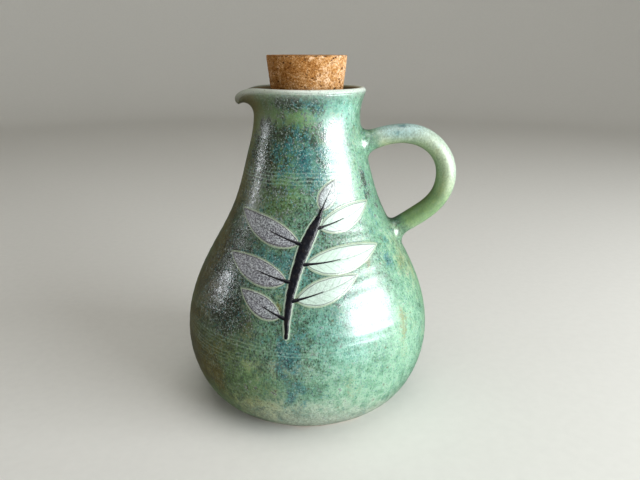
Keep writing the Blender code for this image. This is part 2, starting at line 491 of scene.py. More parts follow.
PLAINLY_THROWN = ((0.094, 0.005, 0.78), (0.038, 0.006, 0.55), (0.012, 0.004, 0.5))
BARELY_THROWN = 0.22


def thrown_share(points: Array) -> Array:
    """How plainly throwing lines show: Gaussians round the heights that kept them."""
    share = np.full(points.shape[:-1], BARELY_THROWN)
    for height, spread, most in PLAINLY_THROWN:
        share += most * bell(points[..., 2], height, spread)
    return np.clip(share, 0, 1)


def glaze_values(form: ThrownForm, points: Array) -> dict[str, Array]:
    """The amount of each tone, and of throwing lines, at points on or near the jug.

    Args:
        form: the thrown form, whose radius turns an azimuth into a distance.
        points: places in metres.

    Returns:
        One array for each mesh attribute, by name.
    """
    azimuth = np.arctan2(points[..., 0], -points[..., 1])
    height = points[..., 2]
    radius = form.outer_radius(np.clip(height, 0, form.lip_height()))
    values = {}
    for tone, rows in PATCHES.items():
        amount = np.zeros(height.shape)
        for row in rows:
            amount += Patch(*row).amount(azimuth, radius, height)
        values[tone.value] = np.clip(amount, 0, 1)
    return values | {THROWN: thrown_share(points)}


# Node trees


class Nodes:
    """Places and links nodes in one node tree."""

    def __init__(self, tree: bpy.types.NodeTree) -> None:
        """Works on this tree."""
        self.tree = tree

    def feed(self, node: bpy.types.Node, inputs: Inputs) -> bpy.types.Node:
        """Fills or links a node's inputs."""
        for name, value in inputs.items():
            if isinstance(value, Socket):
                self.tree.links.new(value, node.inputs[name])
            else:
                node.inputs[name].default_value = value
        return node

    def add(self, kind: str, inputs: Inputs | None = None, **settings: object) -> bpy.types.Node:
        """Adds a node of this kind, sets its options and feeds it."""
        node = self.tree.nodes.new("ShaderNode" + kind)
        for name, setting in settings.items():
            setattr(node, name, setting)
        return self.feed(node, inputs or {})

    def math(self, operation: str, *values: Value) -> Socket:
        """The result of a Math node."""
        return self.add("Math", dict(enumerate(values)), operation=operation).outputs[0]

    def product(self, first: Value, *others: Value) -> Socket:
        """All the values multiplied."""
        for other in others:
            first = self.math("MULTIPLY", first, other)
        return first

    def scaled(self, value: Value, factor: Value, start: Value) -> Socket:
        """The start, plus the value times the factor."""
        return self.math("MULTIPLY_ADD", value, factor, start)

    def vector(self, operation: str, *values: Value) -> Socket:
        """The result of a Vector Math node."""
        return self.add("VectorMath", dict(enumerate(values)), operation=operation).outputs[0]

    def part(self, vector: Socket, axis: int) -> Socket:
        """One number out of three."""
        return self.add("SeparateXYZ", {0: vector}).outputs[axis]

    def smooth(
        self, value: Value, low: float, high: float, start: float = 0.0, end: float = 1.0
    ) -> Socket:
        """A smooth step of the value from low to high, spread over start to end."""
        ends = {"From Min": low, "From Max": high, "To Min": start, "To Max": end}
        inputs = {"Value": value, **ends}
        return self.add("MapRange", inputs, interpolation_type="SMOOTHSTEP").outputs[0]

    def mix(self, share: Value, first: Value, second: Value) -> Socket:
        """One colour blended into another by a share."""
        colours = {0: share, 6: opaque(first), 7: opaque(second)}
        return self.add("Mix", colours, data_type="RGBA").outputs[2]

    def ramp(self, share: Value, stops: Stops) -> Socket:
        """A colour ramp through the stops."""
        node = self.add("ValToRGB", {0: share})
        elements = node.color_ramp.elements
        for i, (place, colour) in enumerate(stops):
            element = elements[i] if i < len(elements) else elements.new(place)
            element.position = place
            element.color = opaque(colour)
        return node.outputs[0]

    def noise(self, vector: Value, size: float, detail: float = 2.0, rough: float = 0.55) -> Socket:
        """Noise whose features are about this size, in metres."""
        inputs = {"Vector": vector, "Scale": 1 / size, "Detail": detail, "Roughness": rough}
        return self.add("TexNoise", inputs).outputs[0]

    def attribute(self, name: str) -> Socket:
        """A number that the mesh carries at its vertices."""
        return self.add("Attribute", attribute_name=name).outputs["Fac"]

    def object_place(self) -> Socket:
        """The place on the piece, in the object's own metres."""
        return self.add("TexCoord").outputs["Object"]


def opaque(value: Value) -> Value:
    """A colour with its alpha, or a socket as it is."""
    return value if isinstance(value, Socket) else (*value[:3], 1.0)


class Kind(Enum):
    """Sockets of a node group."""

    NUMBER = "NodeSocketFloat"
    VECTOR = "NodeSocketVector"
    COLOUR = "NodeSocketColor"


class SharedGroup(Nodes):
    """The inside of a new node group: the values that it is given, and its output."""

    def __init__(self, name: str, inputs: dict[str, Kind], outputs: dict[str, Kind]) -> None:
        """Makes the group with named sockets."""
        super().__init__(bpy.data.node_groups.new(name, "ShaderNodeTree"))
        for in_out, sockets in (("INPUT", inputs), ("OUTPUT", outputs)):
            for socket, kind in sockets.items():
                self.tree.interface.new_socket(socket, in_out=in_out, socket_type=kind.value)
        self.given = self.tree.nodes.new("NodeGroupInput").outputs
        self.output = self.tree.nodes.new("NodeGroupOutput")

    def close(self, results: Inputs) -> bpy.types.NodeTree:
        """Links the results to the output and gives the group."""
        self.feed(self.output, results)
        return self.tree


def fine_speckle() -> bpy.types.NodeTree:
    """Specks: Voronoi cells of one size, of which a share is picked, each a soft round dot."""
    nodes = SharedGroup(
        "Fine Speckle",
        {"Vector": Kind.VECTOR, "Size": Kind.NUMBER, "Cover": Kind.NUMBER},
        {"Mask": Kind.NUMBER},
    )
    scale = nodes.math("DIVIDE", 1.0, nodes.given["Size"])
    cells = nodes.add("TexVoronoi", {"Vector": nodes.given["Vector"], "Scale": scale}).outputs
    picked = nodes.math("LESS_THAN", nodes.part(cells["Color"], 0), nodes.given["Cover"])
    dot = nodes.smooth(cells["Distance"], 0.62, 0.30)
    return nodes.close({"Mask": nodes.product(picked, dot)})


def throwing_lines() -> bpy.types.NodeTree:
    """Fine level lines: a sharpened sine of the height, which wanders and comes and goes."""
    nodes = SharedGroup(
        "Throwing Lines",
        {"Vector": Kind.VECTOR, "Pitch": Kind.NUMBER, "Wander": Kind.NUMBER},
        {"Mask": Kind.NUMBER, "Height": Kind.NUMBER},
    )
    place = nodes.given["Vector"]
    sway = nodes.product(nodes.noise(place, 0.012, 2.0), nodes.given["Wander"])
    swayed = nodes.math("ADD", nodes.part(place, 2), sway)
    turns = nodes.math("DIVIDE", swayed, nodes.given["Pitch"])
    wave = nodes.math("SINE", nodes.product(turns, TURN))
    level = nodes.vector("MULTIPLY", place, (0.10, 0.10, 1.0))
    bands = nodes.smooth(nodes.noise(level, 0.006, 3.0), 0.48, 0.62)
    crest = nodes.smooth(wave, 0.1, 0.95)
    return nodes.close({"Mask": nodes.product(crest, bands), "Height": nodes.product(wave, bands)})


@dataclass(frozen=True)
class Specks:
    """One size of speck in the glaze: how many cells have one, how plainly, and its colour."""

    size: float
    cover: float
    amount: Value
    tint: Colour


@dataclass(frozen=True)
class MottledGlaze:
    """The fired glaze's noises and colours: sage with olive, thin, charcoal and teal areas, some
    also painted light, shade and reflection.
    """

    stretch: tuple[float, float, float] = (1.0, 1.0, 0.68)
    pool_shift: tuple[float, float, float] = (0.31, 0.17, 0.05)
    calming: float = -0.72
    warm_tint: Colour = (1.14, 1.0, 0.52)
    cool_tint: Colour = (0.90, 1.07, 1.26)
    line_colour: Colour = (0.40, 0.60, 0.46)
    line_pitch: float = 0.0013
    line_wander: float = 0.0022
    speck_depth: float = -0.35
    sage: Stops = (
        (0.05, (0.020, 0.036, 0.022)),
        (0.28, (0.044, 0.086, 0.053)),
        (0.48, (0.088, 0.190, 0.122)),
        (0.68, (0.156, 0.342, 0.222)),
        (0.92, (0.305, 0.545, 0.378)),
    )
    olive: Stops = (
        (0.05, (0.026, 0.025, 0.006)),
        (0.32, (0.080, 0.079, 0.020)),
        (0.60, (0.150, 0.163, 0.060)),
        (0.90, (0.250, 0.300, 0.150)),
    )
    thin: Stops = (
        (0.32, (0.330, 0.340, 0.265)),
        (0.50, (0.520, 0.570, 0.475)),
        (0.70, (0.700, 0.750, 0.680)),
    )
    charcoal: Stops = (
        (0.35, (0.009, 0.011, 0.011)),
        (0.50, (0.034, 0.041, 0.038)),
        (0.66, (0.265, 0.290, 0.300)),
    )
    teal: Stops = (
        (0.34, (0.012, 0.052, 0.078)),
        (0.50, (0.026, 0.135, 0.150)),
        (0.68, (0.090, 0.330, 0.320)),
    )

    def build(
        self, speckle: bpy.types.NodeTree, throwing: bpy.types.NodeTree
    ) -> bpy.types.NodeTree:
        """Builds the group.

        Each tone adds to a noise before a smooth step, so that its patches break up at
        their edges as fired glaze does.

        Args:
            speckle: the group that gives specks.
            throwing: the group that gives level lines.

        Returns:
            The group, which gives colour, roughness and height.
        """
        names = [THROWN, *(tone.value for tone in Tone)]
        nodes = SharedGroup(
            "Mottled Glaze",
            {"Vector": Kind.VECTOR, **{name.title(): Kind.NUMBER for name in names}},
            {"Color": Kind.COLOUR, "Roughness": Kind.NUMBER, "Height": Kind.NUMBER},
        )
        given, place = nodes.given, nodes.given["Vector"]
        runs = nodes.vector("MULTIPLY", place, self.stretch)
        fine = nodes.noise(runs, 0.00062, 2.0, 0.65)
        noises = nodes.noise(runs, 0.011, 3.0), nodes.noise(runs, 0.0026, 3.0, 0.6), fine
        lively = nodes.scaled(given["Calm"], self.calming, 1.0)
        broad_part, middle_part, fine_part = (
            nodes.product(nodes.math("SUBTRACT", noise, 0.5), lively) for noise in noises
        )

        def broken(amount: Socket, wobble: Socket, low: float, high: float) -> Socket:
            """A patch's share, broken up at its edges by a noise and by the fine noise."""
            edge = nodes.scaled(wobble, 2.4, nodes.product(amount, 0.80))
            return nodes.smooth(nodes.scaled(fine_part, 1.7, edge), low, high)

        def faded(amount: Socket, wobble: float, low: float) -> Socket:
            """A patch's share, with a soft uneven edge."""
            return nodes.smooth(nodes.scaled(middle_part, wobble, amount), low, 1.0)

        # Light and Dark move the sage ramp paler or darker: glaze colour, and painted light and
        # shade where their patches stand.
        depth = nodes.scaled(given["Light"], 0.36, 0.47)
        depth = nodes.scaled(given["Dark"], -0.24, depth)
        grit = nodes.scaled(given["Light"], -1.05, 1.65)
        for part, weight in ((broad_part, 0.45), (middle_part, 0.85), (fine_part, grit)):
            depth = nodes.scaled(part, weight, depth)
        colour = nodes.ramp(depth, self.sage)
        dark = broken(given["Dark"], broad_part, 0.18, 0.70)
        colour = nodes.mix(dark, colour, nodes.ramp(depth, self.olive))
        thin = nodes.product(faded(given["Thin"], 1.6, 0.05), 0.75)
        colour = nodes.mix(thin, colour, nodes.ramp(fine, self.thin))
        # Warm is partly a painted warm reflection, on the jug's left side and under the spout.
        for name, tint in (("Warm", self.warm_tint), ("Cool", self.cool_tint)):
            tinted = nodes.vector("MULTIPLY", colour, tint)
            colour = nodes.mix(faded(given[name], 1.2, 0.0), colour, tinted)

        grey = broken(given["Grey"], middle_part, 0.36, 0.74)
        charred = nodes.math("ADD", fine, nodes.product(given["Grey"], given["Grey"], -0.09))
        colour = nodes.mix(nodes.product(grey, 0.88), colour, nodes.ramp(charred, self.charcoal))
        pool = nodes.noise(nodes.vector("ADD", runs, self.pool_shift), 0.0034, 4.0, 0.62)
        teal = broken(given["Teal"], nodes.math("SUBTRACT", pool, 0.5), 0.34, 0.78)
        colour = nodes.mix(nodes.product(teal, 0.80), colour, nodes.ramp(fine, self.teal))

        pitch = {"Pitch": self.line_pitch, "Wander": self.line_wander}
        lines = nodes.add("Group", {"Vector": place, **pitch}, node_tree=throwing)
        mask, rise = (
            nodes.product(lines.outputs[name], given[THROWN.title()], strength)
            for name, strength in (("Mask", 0.34), ("Height", 0.60))
        )
        colour = nodes.mix(mask, colour, self.line_colour)
        coarse = nodes.scaled(nodes.product(grey, given["Grey"]), 2.2, 1.0)
        height = nodes.scaled(fine, coarse, rise)
        gritty = nodes.scaled(given["Light"], -0.24, 0.40)
        pooled = nodes.scaled(nodes.math("MAXIMUM", grey, teal), 0.26, 0.36)
        for specks in (
            Specks(0.00056, 0.20, gritty, (0.018, 0.030, 0.032)),
            Specks(0.00050, 0.23, pooled, (0.440, 0.545, 0.490)),
            Specks(0.00068, 0.13, 0.50, (0.028, 0.200, 0.225)),
            Specks(0.00060, 0.15, 0.42, (0.200, 0.205, 0.270)),
            Specks(0.00110, 0.008, 0.50, (0.130, 0.080, 0.025)),
        ):
            shift = nodes.vector("ADD", place, (specks.size * 7, specks.cover, 0.3))
            cells = {"Vector": shift, "Size": specks.size, "Cover": specks.cover}
            mask = nodes.add("Group", cells, node_tree=speckle).outputs["Mask"]
            share = nodes.product(mask, nodes.product(lively, specks.amount))
            colour = nodes.mix(share, colour, specks.tint)
            height = nodes.scaled(mask, self.speck_depth, height)
        satin = nodes.scaled(grey, -0.16, nodes.scaled(fine, 0.26, 0.17))
        satin = nodes.scaled(given["Calm"], 0.16, satin)
        return nodes.close({"Color": colour, "Roughness": satin, "Height": height})


@dataclass
class SharedEffects:
    """Node groups that several finishes use."""

    speckle: bpy.types.NodeTree = field(default_factory=fine_speckle)
    glaze: bpy.types.NodeTree = field(init=False)

    def __post_init__(self) -> None:
        """Builds the glaze on the speckle and the throwing lines."""
        self.glaze = MottledGlaze().build(self.speckle, throwing_lines())

    def specks(self, nodes: Nodes, place: Socket, size: float, cover: float) -> Socket:
        """The mask of specks of one size."""
        inputs = {"Vector": place, "Size": size, "Cover": cover}
        return nodes.add("Group", inputs, node_tree=self.speckle).outputs["Mask"]

    def fired(self, nodes: Nodes) -> tuple[Socket, Socket, Socket]:
        """Colour, roughness and height of the glaze, with the piece's own tones."""
        inputs: Inputs = {"Vector": nodes.object_place()}
        for name in (THROWN, *(tone.value for tone in Tone)):
            inputs[name.title()] = nodes.attribute(name)
        outputs = nodes.add("Group", inputs, node_tree=self.glaze).outputs
        return outputs["Color"], outputs["Roughness"], outputs["Height"]


# Finishes


@dataclass(frozen=True)
class Finish:
    """A material on one Principled shader; a finish says what its colour and surface are."""

    name: str
    bump: float
    ior: float = 1.62
    gloss: float = 0.9

    def surface(self, nodes: Nodes, effects: SharedEffects) -> tuple[Socket, Socket, Socket]:
        """Colour, roughness and height of the finish."""
        raise NotImplementedError

    def make(self, effects: SharedEffects) -> bpy.types.Material:
        """Builds the material from the finish's own surface."""
        material, nodes, shader = start_material(self.name)
        colour, rough, height = self.surface(nodes, effects)
        relief = {"Height": height, "Distance": self.bump, "Strength": 1.0}
        normal = nodes.add("Bump", relief).outputs[0]
        nodes.feed(shader, {"Base Color": colour, "Roughness": rough, "Normal": normal})
        nodes.feed(shader, {"IOR": self.ior, "Specular IOR Level": self.gloss})
        return material


def start_material(name: str) -> tuple[bpy.types.Material, Nodes, bpy.types.Node]:
    """A new material, its nodes and its Principled shader."""
    material = bpy.data.materials.new(name)
    material.use_nodes = True
    tree = material.node_tree
    return material, Nodes(tree), tree.nodes["Principled BSDF"]


@dataclass(frozen=True)
class JugGlaze(Finish):
    """Satin sage glaze: a lip pale from thin glaze and a painted highlight, an olive inside
    darkened as painted shade, bare clay under the foot.
    """

    name: str = "sage_glaze"
    bump: float = 0.000024
    lip: Colour = (0.78, 0.83, 0.76)
    inside: Colour = (0.066, 0.048, 0.009)
    inside_pale: float = 2.2
    clay: Colour = (0.42, 0.31, 0.20)
    clay_dark: Colour = (0.22, 0.15, 0.09)

    def surface(self, nodes: Nodes, effects: SharedEffects) -> tuple[Socket, Socket, Socket]:
        """The mottled glaze, changed by the mesh's rim, inside and clay values."""
        colour, rough, height = effects.fired(nodes)
        place = nodes.object_place()
        fine = nodes.noise(place, 0.0009, 3.0)
        # Painted shade: the inside of the mouth is coloured dark olive.
        inside = nodes.attribute("inside")
        paler = tuple(self.inside_pale * part for part in self.inside)
        colour = nodes.mix(inside, colour, nodes.mix(fine, self.inside, paler))
        # The pale lip: thin glaze on the rim, brightened as a painted highlight.
        worn_and_highlit = nodes.product(nodes.attribute("rim"), nodes.smooth(fine, 0.22, 0.42))
        colour = nodes.mix(worn_and_highlit, colour, self.lip)
        clay = nodes.attribute("clay")
        grog = effects.specks(nodes, place, 0.0008, 0.25)
        body = nodes.mix(nodes.product(grog, 0.6), self.clay, self.clay_dark)
        colour = nodes.mix(clay, colour, body)
        rough = nodes.scaled(inside, 0.30, nodes.scaled(clay, 0.62, rough))
        return colour, rough, nodes.scaled(nodes.product(grog, clay), 1.5, height)


@dataclass(frozen=True)
class LeafGlaze(Finish):
    """Lilac-grey leaves, finely speckled, with dark incised lines and a pale edge, turned mint by a
    painted highlight.
    """

    name: str = "leaf_glaze"
    bump: float = 0.00003
    greys: Stops = (
        (0.36, (0.100, 0.098, 0.125)),
        (0.50, (0.270, 0.278, 0.320)),
        (0.64, (0.540, 0.570, 0.610)),
    )
    highlight_mint: Colour = (0.560, 0.740, 0.620)
    speck: Colour = (0.66, 0.70, 0.70)
    ink: Colour = (0.040, 0.032, 0.028)
    halo: Colour = (0.360, 0.440, 0.310)

    def surface(self, nodes: Nodes, effects: SharedEffects) -> tuple[Socket, Socket, Socket]:
        """The mottled glaze, then halo, leaf and incised line by the mesh's values."""
        colour, rough, height = effects.fired(nodes)
        place = nodes.object_place()
        grain = nodes.noise(place, 0.00050, 1.0, 0.5)
        leaf = nodes.ramp(grain, self.greys)
        uneven = nodes.scaled(nodes.noise(place, 0.004, 3.0), 0.5, -0.2)
        # Painted highlight: by its paleness, the leaf turns to pale mint.
        paler = nodes.scaled(nodes.attribute("pale"), 0.75, uneven)
        leaf = nodes.mix(nodes.smooth(paler, 0.0, 1.0), leaf, self.highlight_mint)
        specks = effects.specks(nodes, place, 0.0005, 0.14)
        leaf = nodes.mix(nodes.product(specks, 0.35), leaf, self.speck)
        colour = nodes.mix(nodes.attribute("halo"), colour, self.halo)
        shape = nodes.attribute("shape")
        colour = nodes.mix(shape, colour, leaf)
        colour = nodes.mix(nodes.attribute("ink"), colour, self.ink)
        height = nodes.scaled(nodes.product(grain, shape), 1.2, height)
        return colour, nodes.scaled(shape, 0.12, rough), height


@dataclass(frozen=True)
class BlackSlip(Finish):
    """Thick black slip with a soft gloss and a pale edge where the glaze drew back from it."""

    name: str = "black_slip"
    bump: float = 0.00003
    gloss: float = 0.3
    black: Colour = (0.004, 0.005, 0.010)
    brown: Colour = (0.012, 0.010, 0.012)
    halo: Colour = (0.480, 0.600, 0.480)

    def surface(self, nodes: Nodes, effects: SharedEffects) -> tuple[Socket, Socket, Socket]:
        """The mottled glaze, then halo and slip by the mesh's values."""
        colour, rough, height = effects.fired(nodes)
        soft = nodes.noise(nodes.object_place(), 0.0016, 3.0)
        slip = nodes.mix(nodes.smooth(soft, 0.45, 0.7), self.black, self.brown)
        shape = nodes.attribute("shape")
        colour = nodes.mix(nodes.attribute("halo"), colour, self.halo)
        colour = nodes.mix(shape, colour, slip)
        height = nodes.scaled(nodes.product(soft, shape), 2.0, height)
        return colour, nodes.scaled(shape, 0.02, rough), height


@dataclass(frozen=True)
class PressedCork(Finish):
    """Pressed cork: tan grains of several browns with dark seams and pits, painted paler at the lit
    right.
    """

    name: str = "pressed_cork"
    bump: float = 0.00010
    ior: float = 1.5
    gloss: float = 0.12
    grain_size: float = 0.00072
    lit_side_reach: float = 0.014
    browns: Stops = (
        (0.00, (0.140, 0.040, 0.005)),
        (0.28, (0.330, 0.130, 0.026)),
        (0.60, (0.520, 0.270, 0.095)),
        (1.00, (0.870, 0.610, 0.410)),
    )
    seam: Colour = (0.190, 0.080, 0.024)
    pit: Colour = (0.085, 0.032, 0.010)

    def surface(self, nodes: Nodes, effects: SharedEffects) -> tuple[Socket, Socket, Socket]:
        """Browns by grain, noise, blotch and a painted lit side, then the mesh's seams and pits."""
        place = nodes.object_place()
        fine = nodes.noise(place, 0.00042, 3.0, 0.75)
        small = nodes.add("TexVoronoi", {"Vector": place, "Scale": 1 / self.grain_size})
        tint = nodes.part(small.outputs["Color"], 0)
        grain = nodes.scaled(nodes.attribute("grain"), 0.26, nodes.product(tint, 0.26))
        grain = nodes.math("ADD", grain, 0.22)
        grain = nodes.scaled(nodes.math("SUBTRACT", fine, 0.5), 2.0, grain)
        blotch = nodes.smooth(nodes.noise(place, 0.0055, 2.0), 0.30, 0.70, -0.13, 0.13)
        # Painted light: the browns turn paler towards +X, the lit side, and darker towards -X.
        reach = self.lit_side_reach
        lit_side = nodes.smooth(nodes.part(place, 0), -reach, reach, -0.11, 0.15)
        share = nodes.math("ADD", nodes.math("ADD", grain, blotch), lit_side)
        colour = nodes.ramp(share, self.browns)
        specks = effects.specks(nodes, place, 0.0007, 0.20)
        colour = nodes.mix(nodes.product(nodes.attribute("seam"), 0.32), colour, self.seam)
        colour = nodes.mix(nodes.product(specks, 0.62), colour, self.seam)
        colour = nodes.mix(nodes.attribute("pit"), colour, self.pit)
        rough = nodes.smooth(fine, 0.3, 0.7, 0.88, 0.72)
        return colour, rough, nodes.scaled(specks, -0.6, fine)


# Sub-assemblies


@dataclass
class JugBody:
    """The hollow thrown body, from the middle of its foot over the lip to its floor."""

    form: ThrownForm
    columns: int = 272
    outside_rows: int = 246
    lip_rows: int = 15
    inside_rows: int = 62
    floor_rows: int = 16
    foot_rows: int = 14
    foot_edge: float = 0.0005
    foot_inset: float = 0.0004
    recess_depth: float = 0.0008
    recess_radius: float = 0.0265
    recess_slope: float = 0.003
    rim_rows_outside: float = 7.5
    rim_rows_inside: float = 2.5
    spout_rim_fade: float = 0.75
    spout_spread: float = math.radians(30)

    def outside_heights(self) -> Array:
        """Heights spaced evenly along the outer profile."""
        dense, along = self.form.profile(self.foot_edge, self.form.lip_height(), 2000)
        return np.interp(np.linspace(0, along[-1], self.outside_rows), along, dense)

    def foot(self) -> tuple[Array, Array]:
        """Radius and height under the foot: a shallow turned recess inside a flat ring."""
        edge = float(self.form.outer_radius(self.foot_edge)) - self.foot_inset
        radius = np.linspace(0, 1, self.foot_rows + 1)[1:] * edge
        slope = smooth_step(radius, self.recess_radius - self.recess_slope, self.recess_radius)
        return radius, self.recess_depth * (1 - slope)

    def lip(self) -> tuple[Array, Array]:
        """Half an ellipse from the outside of the lip over its crest to the inside."""
        turn = np.linspace(0, math.pi, self.lip_rows)
        radius = self.form.lip_radius - self.form.lip_width / 2 * (1 - np.cos(turn))
        return radius, self.form.lip_height() + self.form.lip_depth * np.sin(turn)

    def inside(self) -> tuple[Array, Array]:
        """Down the inner wall to where the floor's corner begins."""
        corner = self.form.floor + self.form.floor_corner
        height = np.linspace(self.form.lip_height(), corner, self.inside_rows)[1:]
        return self.form.inner_radius(height), height

    def hollow_floor(self) -> tuple[Array, Array]:
        """The corner and the floor, as a quarter of a superellipse."""
        turn = np.linspace(math.pi / 2, 0, self.floor_rows + 1)[1:-1]
        power = 2 / self.form.floor_squareness
        height = self.form.floor + self.form.floor_corner * (1 - np.cos(turn) ** power)
        return self.form.inner_radius(height) * np.sin(turn) ** power, height

    def turned(self, section: tuple[Array, Array], azimuth: Array) -> Array:
        """Carries a part of the section round the axis."""
        radius, height = (np.repeat(part[:, None], len(azimuth), axis=1) for part in section)
        return self.form.place(np.broadcast_to(azimuth, radius.shape), radius, height)

    def build(self) -> Skin:
        """Turns the whole section round the axis and marks rim, inside and clay on it."""
        azimuth = np.linspace(-math.pi, math.pi, self.columns, endpoint=False)
        wall = self.form.on_wall(*np.meshgrid(azimuth, self.outside_heights()))
        parts = [self.turned(self.foot(), azimuth), wall]
        rest = self.lip(), self.inside(), self.hollow_floor()
        parts += [self.turned(part, azimuth) for part in rest]
        points = np.concatenate(parts)
        wall_end = len(parts[0]) + len(wall)
        crest = wall_end + self.lip_rows / 2
        row = np.arange(len(points))
        values = glaze_values(self.form, points)
        # inside: the share of the painted shade inside the mouth.
        values["inside"] = np.outer(smooth_step(row, crest + 1, crest + 5), np.ones(self.columns))
        # The pale lip fades at the spout, whose tip carries thicker glaze and painted shade.
        spout = bell(wrapped(azimuth - self.form.spout_azimuth), 0, self.spout_spread)
        reach = np.where(row < crest, self.rim_rows_outside, self.rim_rows_inside)
        values["rim"] = np.outer(bell(row, crest, reach), 1 - self.spout_rim_fade * spout)
        drip = 0.0009 + 0.0005 * soft_noise(points, 0.006, 41)
        bare = 1 - smooth_step(points[..., 2] - drip, -0.0002, 0.0002)
        values["clay"] = bare * (row < wall_end)[:, None]
        under, floor = (np.array([0, 0, z]) for z in (self.recess_depth, self.form.floor))
        return Skin(points, under, floor, values)

    def dress(self, glaze: bpy.types.Material) -> None:
        """Makes the piece that stands for the jug's solid."""
        piece = make_piece("jug_body", [self.build()], glaze)
        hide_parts("jug")


@dataclass
class PulledHandle:
    """An oval strap pulled along a curve in the XZ plane and smoothed on to the wall."""

    form: ThrownForm
    half_thickness: float = 0.0037
    half_width: float = 0.0043
    sides: int = 96
    rows: int = 190
    fillet_rows: int = 14
    neck_arms: tuple[float, float] = (0.0050, 0.0038)
    shoulder_arms_inner: tuple[float, float] = (0.0030, 0.0024)
    shoulder_arms_outer: tuple[float, float] = (0.0060, 0.0048)
    line: tuple[tuple[float, float], ...] = (
        (0.0195, 0.1033),
        (0.0310, 0.1073),
        (0.0420, 0.1073),
        (0.0498, 0.1024),
        (0.0536, 0.0940),
        (0.0513, 0.0836),
        (0.0440, 0.0765),
        (0.0320, 0.0689),
    )

    def __post_init__(self) -> None:
        """Measures the line by its chords."""
        self.chord = chords(np.array(self.line))
        self.turn = np.linspace(0, TURN, self.sides, endpoint=False)

    def centre(self, along: Array) -> Array:
        """X and Z of the centre line at distances along it."""
        return natural_spline(self.chord, np.array(self.line), along)

    def skin_point(self, along: Array) -> Array:
        """Points on the strap: the centre, plus an oval across the line's direction.

        The oval's half sizes swell and shrink a little along the line, as a pulled strap's do.
        """
        step = 1e-4
        middle = self.centre(along)
        ahead = self.centre(along + step) - self.centre(along - step)
        ahead /= np.linalg.norm(ahead, axis=-1, keepdims=True)
        turn = np.broadcast_to(self.turn, along.shape)
        swell = 1 + 0.018 * np.sin(along * 310 + 0.6) + 0.012 * np.cos(along * 137)
        thick = self.half_thickness * swell * np.cos(turn)
        wide = self.half_width * swell * np.sin(turn)
        x, z = middle[..., 0] - ahead[..., 1] * thick, middle[..., 1] + ahead[..., 0] * thick
        return np.stack([x, wide, z], axis=-1)

    def footprint(self, inside: float, outside: float) -> Array:
        """Distance along the line at which each side of the strap meets the wall.

        Halves the span between a place inside the wall and one outside it, for all sides.
        """
        low, high = (np.full(self.sides, end) for end in (inside, outside))
        for _ in range(40):
            middle = (low + high) / 2
            buried = self.form.outside_of(self.skin_point(middle)) < 0
            low = np.where(buried, middle, low)
            high = np.where(buried, high, middle)
        return (low + high) / 2

    def fillet(self, meets: Array, arms: Array, reaches: Array, way: int) -> tuple[Array, Array]:
        """Rings that leave the wall and reach the strap, and the pole that closes them.

        Each side is a parabola through the wall point, the corner and the strap point: at t
        it is (1-t)^2 strap + 2t(1-t) corner + t^2 wall.

        Args:
            meets: distance along the line where each side meets the wall.
            arms: how far each parabola reaches along the strap.
            reaches: how far each parabola reaches along the wall.
            way: 1 at the neck, -1 at the shoulder.

        Returns:
            The rings from the strap to the wall, and the closing pole inside the wall.
        """
        corner = self.skin_point(meets)
        strap = self.skin_point(meets + way * arms)
        azimuth = np.arctan2(corner[:, 0], -corner[:, 1])
        height = corner[:, 2]
        radius = self.form.outer_radius(height)
        middle = math.pi / 2, height.mean()
        away = np.stack([(azimuth - middle[0]) * radius, height - middle[1]], axis=-1)
        away /= np.linalg.norm(away, axis=-1, keepdims=True)

        def beyond(reach: Array, lift: float) -> Array:
            """The wall beyond the corner."""
            turned, risen = azimuth + away[:, 0] * reach / radius, height + away[:, 1] * reach
            return self.form.on_wall(turned, risen, lift)

        t = np.linspace(0, 1, self.fillet_rows + 1)[1:, None, None]
        wall = beyond(reaches, -0.00006)
        rings = (1 - t) ** 2 * strap + 2 * t * (1 - t) * corner + t**2 * wall
        sunk = beyond(reaches + 0.0006, -0.0004)
        pole = self.form.on_wall(*(np.array(part) for part in middle), -0.0018)
        return np.concatenate([rings, sunk[None]]), pole

    def own_tones(self, points: Array) -> dict[Tone, Array]:
        """The strap's glaze: pale outside and blue on top; olive within and green low down, partly
        painted shade and a warm reflection.
        """
        x, z = points[..., 0], points[..., 2]
        top = np.exp(-(((x - 0.035) / 0.008) ** 2) - ((z - 0.111) / 0.004) ** 2)
        low = bell(z, 0.078, 0.011)
        # under is 1 on the strap's inner side: there DARK paints shade and WARM a warm reflection,
        # as they partly do low down too.
        under = np.zeros(low.shape) + (1 - np.cos(self.turn)) / 2
        return {
            Tone.LIGHT: 0.72 - 0.10 * low - 0.4 * top,
            Tone.DARK: 0.20 * low + 0.35 * under,
            Tone.TEAL: 0.50 * top,
            Tone.GREY: 0.56 * top,
            Tone.THIN: 0.90 - 0.55 * low - 0.35 * under,
            Tone.WARM: 0.10 + 0.45 * low + 0.50 * under - 0.9 * top,
            Tone.COOL: 0.22 - 0.40 * under + 1.2 * top,
            Tone.CALM: np.ones(low.shape),
        }

